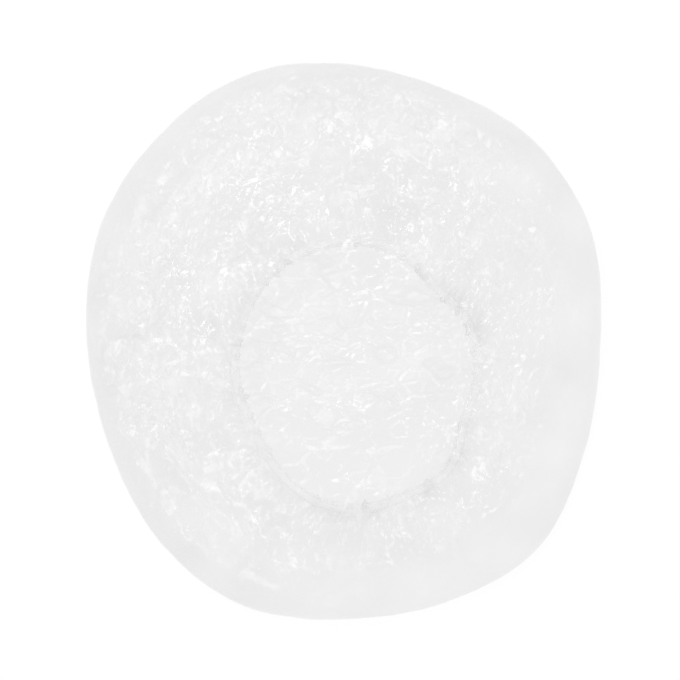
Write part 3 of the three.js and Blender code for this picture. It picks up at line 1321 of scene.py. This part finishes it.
@dataclass
class HemCasing:
    """The film's edge, turned in round the elastic."""

    plan: CapPlan
    bore: float = 1.05 * MM
    seat: float = 0.4 * MM
    channel: float = 2.4 * MM
    nose_rows: int = 11
    leg_rows: int = 9
    columns: int = 1280
    beads: int = 134
    bead_seed: int = 301
    bead_size: Span = (0.62, 0.80)
    aside: float = 2.2 * MM
    aside_seed: int = 311
    free_edge: Span = (1.5 * MM, 4.0 * MM)
    crush: Creases = Creases(cell=2.3 * MM, seed=211)
    crush_rise: float = 0.25
    sway: Billows = Billows(length=9 * MM, seed=215)
    sway_rise: float = 0.12 * MM
    deepest: float = -0.2 * MM
    flat_radius: float = 222 * MM
    row_step: float = 0.5 * MM
    run_radius: float = 66 * MM
    run_shift: float = 2.0
    crushed: float = 0.8
    cover: float = 0.042
    tone: float = 0.4
    leg_cover: float = 0.03
    leg_tone: float = 0.70
    # painted shade on the hem's legs, the same as just outside the hem
    hem_shade_cover: float = 1.2
    hem_shade_tone: float = 0.5
    dark: float = 0.4
    dark_places: Triples = (
        (50, 16, 1.5), (29, 9, 1.2), (14, 7, 0.6), (92, 18, 0.6), (122, 9, 0.8), (140, 10, 0.5),
        (178, 20, 0.8), (205, 10, 0.5), (262, 16, 1.0), (301, 8, 0.9), (321, 7, 0.9), (337, 6, 0.7),
    )
    breaks: Billows = Billows(length=8 * MM, seed=219)
    broken: float = 0.8
    short_breaks: float = 0.9
    long_breaks: float = 0.7
    long_share: float = 0.3
    broken_span: Span = (0.1, 2.2)

    def section(self, swell: np.ndarray) -> list[tuple[np.ndarray, np.ndarray]]:
        """Rows across the hem, from the upper edge round the nose to the lower edge.

        Args:
            swell: Size of the tube at each column, against its middle size.

        Returns:
            Pairs of distance along the brim and distance above it at each column, in metres.
        """
        bore = self.bore * swell
        outs = np.linspace(self.plan.hem_end, 0.0, self.leg_rows, endpoint=False)
        falls = smooth_step(outs, 0.0, self.channel)
        upper = [
            (np.full_like(bore, out), bore + (self.seat - bore) * fall)
            for out, fall in zip(outs, falls)
        ]
        turns = np.radians(np.linspace(90.0, 270.0, self.nose_rows))
        nose = [(bore * math.cos(t), bore * math.sin(t)) for t in turns]
        lower = [(out, -above) for out, above in reversed(upper)]
        return upper + nose + lower

    def build(self) -> bpy.types.Object:
        """Make the hem's mesh.

        Returns:
            The hem as one object.
        """
        angle = np.arange(self.columns) / self.columns * TURN
        place = (angle / TURN * self.beads)[:, None]
        least, more = self.bead_size
        swell = least + more * np.sqrt(nearest(place, self.bead_seed, self.beads))
        aside = self.aside * facets(place, self.aside_seed, self.beads)
        section = self.section(swell)
        free = np.array([1.0 - smooth_step(along, *self.free_edge) for along, _ in section])
        rings = np.array([
            self.plan.hem_point(angle, along + aside * loose, above)
            for (along, above), loose in zip(section, free)
        ])
        numbers = np.arange(free.size).reshape(free.shape)
        base = rings.reshape(-1, 3)
        piece = mesh_piece("hem_casing_clear", base, band_faces(numbers))
        self.crumple(piece.data, base, free.ravel())
        self.mark(piece.data, angle, free)
        return piece

    def crumple(self, mesh: bpy.types.Mesh, base: np.ndarray, free: np.ndarray) -> None:
        """Crush the hem into small loops round the elastic.

        Args:
            mesh: Mesh of the hem.
            base: Its smooth points.
            free: 1 where the film is free to crush, 0 where it is welded.
        """
        rise = self.crush_rise * self.crush.height(base)
        rise += self.sway_rise * self.sway.height(base[:, :2])
        move_points(mesh, raise_points(mesh, base, np.maximum(rise, self.deepest) * free))

    def mark(self, mesh: bpy.types.Mesh, angle: np.ndarray, free: np.ndarray) -> None:
        """Give the hem its flat pattern, its crease run, its cover and its tone.

        Args:
            mesh: Mesh of the hem.
            angle: Angles of its columns.
            free: 1 where the film is free, 0 where it is welded, for each ring and column.
        """
        turn = np.tile(angle, len(free))
        across = np.repeat(self.row_step * np.arange(len(free)), self.columns)
        way = np.column_stack([np.cos(turn), np.sin(turn)])
        lay_pattern(mesh, FilmSheet.FLAT, (self.flat_radius + across)[:, None] * way)
        run = np.column_stack([self.run_shift + self.run_radius * turn, across])
        lay_pattern(mesh, FilmSheet.RUN, run)

        dark = self.dark + turn_bells(angle, self.dark_places)
        line = self.plan.mouth.point(angle)
        broken = self.broken + self.short_breaks * self.breaks.height(line)
        broken += self.long_breaks * self.breaks.height(self.long_share * line)
        nose_cover = self.cover * dark * np.clip(broken, *self.broken_span)
        # painted shade on the legs, the same as just outside the hem
        hem_shade = turn_bells(angle, FilmShade.hem_shade_places)
        leg_cover = self.leg_cover * (1.0 + self.hem_shade_cover * hem_shade)
        leg_tone = self.leg_tone - self.hem_shade_tone * hem_shade
        note_values(mesh, FilmSheet.COVER, (leg_cover + (nose_cover - leg_cover) * free).ravel())
        note_values(mesh, FilmSheet.TONE, (leg_tone + (self.tone - leg_tone) * free).ravel())
        note_values(mesh, FilmSheet.CRUSHED, np.full(free.size, self.crushed))
        note_values(mesh, FilmSheet.HAZE, np.zeros(free.size))

    def dress(self, piece: bpy.types.Object, film: bpy.types.Material) -> None:
        """Finish the hem and let it ride with the mouth.

        Args:
            piece: The hem.
            film: Film material.
        """
        piece.data.materials.append(film)
        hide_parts(Node.HEM.value)
        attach(piece, Body.MOUTH.value)


@dataclass
class HemWeld:
    """The welded strip that closes the hem behind the elastic."""

    plan: CapPlan
    width: float = 1.2 * MM
    thickness: float = 0.4 * MM

    def build(self) -> bpy.types.Object:
        """Make the strip's mesh.

        Returns:
            The strip as one object.
        """
        plan = self.plan
        angle = plan.angles()
        end = plan.hem_width
        start = end - self.width
        half = self.thickness / 2
        section = [(start, half), (start, -half), (end, -half), (end, half)]
        rings = [plan.hem_point(angle, along, above) for along, above in section]
        numbers = np.arange(len(section) * plan.columns).reshape(len(section), plan.columns)
        faces = band_faces(np.vstack([numbers, numbers[:1]]))
        piece = mesh_piece("hem_weld_strip", np.concatenate(rings), faces)
        across = np.repeat(HemCasing.row_step * np.arange(len(section)), plan.columns)
        along = HemCasing.run_radius * np.tile(angle, len(section))
        lay_pattern(piece.data, FilmSheet.RUN, np.column_stack([along, across]))
        return piece

    def dress(self, piece: bpy.types.Object, weld: bpy.types.Material) -> None:
        """Finish the strip and let it ride with the mouth.

        Args:
            piece: The strip.
            weld: Weld material.
        """
        piece.data.materials.append(weld)
        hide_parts(Node.WELD.value)
        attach(piece, Body.MOUTH.value)


@dataclass
class ElasticCord:
    """Round rubber cord inside the hem, its ends lapped side by side."""

    plan: CapPlan
    diameter: float = 1.2 * MM
    lap: float = 12 * MM
    ease: float = 18 * MM
    lap_place: float = 0.75
    measured: int = 2000
    steps: int = 420
    sides: int = 12

    def path(self) -> np.ndarray:
        """Middle line of the cord.

        Returns:
            Points along it, in metres.
        """
        line = self.plan.mouth.point(np.linspace(0.0, TURN, self.measured + 1))
        turn = np.linalg.norm(np.diff(line, axis=0), axis=1).sum()
        run = np.linspace(0.0, turn + self.lap, self.steps + 1)
        around = TURN * (self.lap_place + run / turn)
        aside = (self.diameter + self.plan.film_wall) * smooth_step(run, turn - self.ease, turn)
        return self.plan.hem_point(around, aside, 0.0)

    def build(self) -> bpy.types.Object:
        """Make the cord's mesh.

        Returns:
            The cord as one object.
        """
        path = self.path()
        along = np.gradient(path, axis=0)
        along /= np.linalg.norm(along, axis=1, keepdims=True)
        side = np.cross(along, (0.0, 0.0, 1.0))
        side /= np.linalg.norm(side, axis=1, keepdims=True)
        rise = np.cross(side, along)
        turns = [TURN * k / self.sides for k in range(self.sides)]
        around = [side * math.cos(turn) + rise * math.sin(turn) for turn in turns]
        points = np.stack([path + way * self.diameter / 2 for way in around], axis=1)
        numbers = np.arange(len(path) * self.sides).reshape(len(path), self.sides)
        faces = band_faces(numbers)[:, ::-1].tolist()
        faces += [numbers[0].tolist(), numbers[-1, ::-1].tolist()]
        return mesh_piece("elastic_cord_round", points.reshape(-1, 3), faces)

    def dress(self, piece: bpy.types.Object, rubber: bpy.types.Material) -> None:
        """Finish the cord and let it ride with the mouth.

        Args:
            piece: The cord.
            rubber: Rubber material.
        """
        piece.data.materials.append(rubber)
        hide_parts(Node.ELASTIC.value)
        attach(piece, Body.MOUTH.value)


@dataclass(frozen=True)
class Softbox:
    """One studio lamp: a panel aimed at the cap."""

    name: str
    place: tuple[float, float, float]
    size: Span
    glow: float

    def build(self) -> None:
        """Hang the lamp in the scene, its longer side across the way to the cap."""
        lamp = bpy.data.lights.new(self.name, "AREA")
        lamp.shape = "RECTANGLE"
        lamp.size, lamp.size_y = self.size
        lamp.energy = math.pi * self.size[0] * self.size[1] * self.glow
        holder = bpy.data.objects.new(self.name, lamp)
        holder.location = self.place
        holder.rotation_mode = "QUATERNION"
        holder.rotation_quaternion = (-Vector(self.place)).to_track_quat("-Z", "Y")
        holder.visible_camera = False
        bpy.context.scene.collection.objects.link(holder)


@dataclass
class Studio:
    """White floor, soft light and the camera straight above the cap."""

    image_px: int = 680
    mm_per_px: float = 0.5
    middle_px: Span = (343.5, 341.0)
    scale_height: float = 12 * MM
    lens: float = 150.0
    sensor: float = 36.0
    sight: float = 50.0
    floor_half: float = 6.0
    floor_drop: float = 0.05 * MM
    floor_glow: float = 0.78
    floor_shade: float = 0.25
    floor_white: float = 0.8
    sky: float = 0.11
    lamps: tuple[Softbox, ...] = (
        Softbox("key_upper_left", (-0.45, 0.45, 1.15), (0.32, 0.22), 15.6),
        Softbox("top", (0.12, 0.64, 1.15), (0.32, 0.22), 15.6),
        Softbox("left", (-0.64, -0.05, 1.12), (0.28, 0.22), 9.6),
        Softbox("low_right", (0.98, -0.32, 1.00), (0.30, 0.22), 17.0),
        Softbox("right_spark", (0.76, -0.34, 1.10), (0.14, 0.14), 18.0),
        Softbox("lower_left", (-0.52, -0.44, 1.15), (0.20, 0.20), 11.5),
        Softbox("front", (-0.34, -0.64, 1.15), (0.18, 0.17), 21.0),
        Softbox("spark", (-0.33, 0.45, 1.25), (0.16, 0.16), 18.0),
    )

    def build_camera(self) -> None:
        """Set the camera straight above, framed as the photograph is."""
        camera = bpy.data.cameras.new("above")
        camera.lens = self.lens
        camera.sensor_width = self.sensor
        camera.clip_end = self.sight
        view = self.image_px * self.mm_per_px * MM
        away = view / 2 / (self.sensor / 2 / self.lens)
        holder = bpy.data.objects.new("above", camera)
        x = (self.image_px / 2 - self.middle_px[0]) * self.mm_per_px * MM
        y = (self.middle_px[1] - self.image_px / 2) * self.mm_per_px * MM
        holder.location = (x, y, self.scale_height + away)
        bpy.context.scene.collection.objects.link(holder)
        bpy.context.scene.camera = holder

    def build_floor(self) -> None:
        """Lay the white floor, which keeps the cap's shadow."""
        half, z = self.floor_half, -self.floor_drop
        corners = np.array([(-half, -half, z), (half, -half, z), (half, half, z), (-half, half, z)])
        floor = mesh_piece("floor", corners, [[0, 1, 2, 3]])
        material = bpy.data.materials.new("white_floor")
        material.use_nodes = True
        material.cycles.emission_sampling = "NONE"
        nodes, links = material.node_tree.nodes, material.node_tree.links
        nodes.remove(nodes["Principled BSDF"])
        paper = nodes.new("ShaderNodeBsdfDiffuse")
        paper.inputs["Color"].default_value = (self.floor_white,) * 3 + (1.0,)
        shade = nodes.new("ShaderNodeBsdfDiffuse")
        shade.inputs["Color"].default_value = (self.floor_shade,) * 3 + (1.0,)
        glow = nodes.new("ShaderNodeEmission")
        glow.inputs["Strength"].default_value = self.floor_glow
        seen = nodes.new("ShaderNodeAddShader")
        links.new(shade.outputs["BSDF"], seen.inputs[0])
        links.new(glow.outputs["Emission"], seen.inputs[1])
        choice = nodes.new("ShaderNodeMixShader")
        links.new(self.seen_directly(NodeMaker(material.node_tree)), choice.inputs["Fac"])
        links.new(paper.outputs["BSDF"], choice.inputs[1])
        links.new(seen.outputs["Shader"], choice.inputs[2])
        links.new(choice.outputs["Shader"], nodes["Material Output"].inputs["Surface"])
        floor.data.materials.append(material)

    def seen_directly(self, maker: NodeMaker) -> Socket:
        """Add nodes that tell rays from the camera, also in a reflection or through clear matter.

        Args:
            maker: Maker of the tree's nodes.

        Returns:
            A socket that is 1 for such rays.
        """
        path = maker.nodes.new("ShaderNodeLightPath")
        total = path.outputs["Is Camera Ray"]
        for other in ("Is Glossy Ray", "Is Transmission Ray"):
            total = maker.math("MAXIMUM", total, path.outputs[other])
        return total

    def build_sky(self) -> None:
        """Surround the scene with even light, white where it is seen."""
        world = bpy.data.worlds.new("studio")
        world.use_nodes = True
        maker = NodeMaker(world.node_tree)
        background = maker.nodes["Background"]
        background.inputs["Color"].default_value = (1.0, 1.0, 1.0, 1.0)
        level = maker.spread(self.seen_directly(maker), UNIT, (self.sky, 1.0))
        maker.links.new(level, background.inputs["Strength"])
        bpy.context.scene.world = world

    def build(self) -> None:
        """Set up camera, floor, sky and lamps."""
        self.build_camera()
        self.build_floor()
        self.build_sky()
        for lamp in self.lamps:
            lamp.build()
        bpy.context.scene.view_settings.view_transform = "Standard"


def main() -> None:
    """Build the cap piece by piece, then the studio."""
    logging.basicConfig(level=logging.INFO, format="%(name)s: %(message)s")
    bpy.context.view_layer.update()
    plan = CapPlan()
    creases = FineCreases().group()
    film = FilmFinish().material(creases)
    hem_film = FilmFinish(name="clear_film_hem", edge_on=1.4).material(creases)

    hem_maker = HemCasing(plan)
    hem = hem_maker.build()
    hem_maker.dress(hem, hem_film)
    LOG.info("hem casing: %d faces", len(hem.data.polygons))

    film_maker = FilmSheet(plan)
    sheet = film_maker.build()
    film_maker.dress(sheet, film, hem)
    LOG.info("film sheet: %d faces", len(sheet.data.polygons))

    weld_maker = HemWeld(plan)
    weld = weld_maker.build()
    weld_maker.dress(weld, WeldFinish().material(creases))
    LOG.info("hem weld: %d faces", len(weld.data.polygons))

    cord_maker = ElasticCord(plan)
    cord = cord_maker.build()
    cord_maker.dress(cord, ElasticFinish().material())
    LOG.info("elastic cord: %d faces", len(cord.data.polygons))

    Studio().build()


if __name__ == "__main__":
    main()
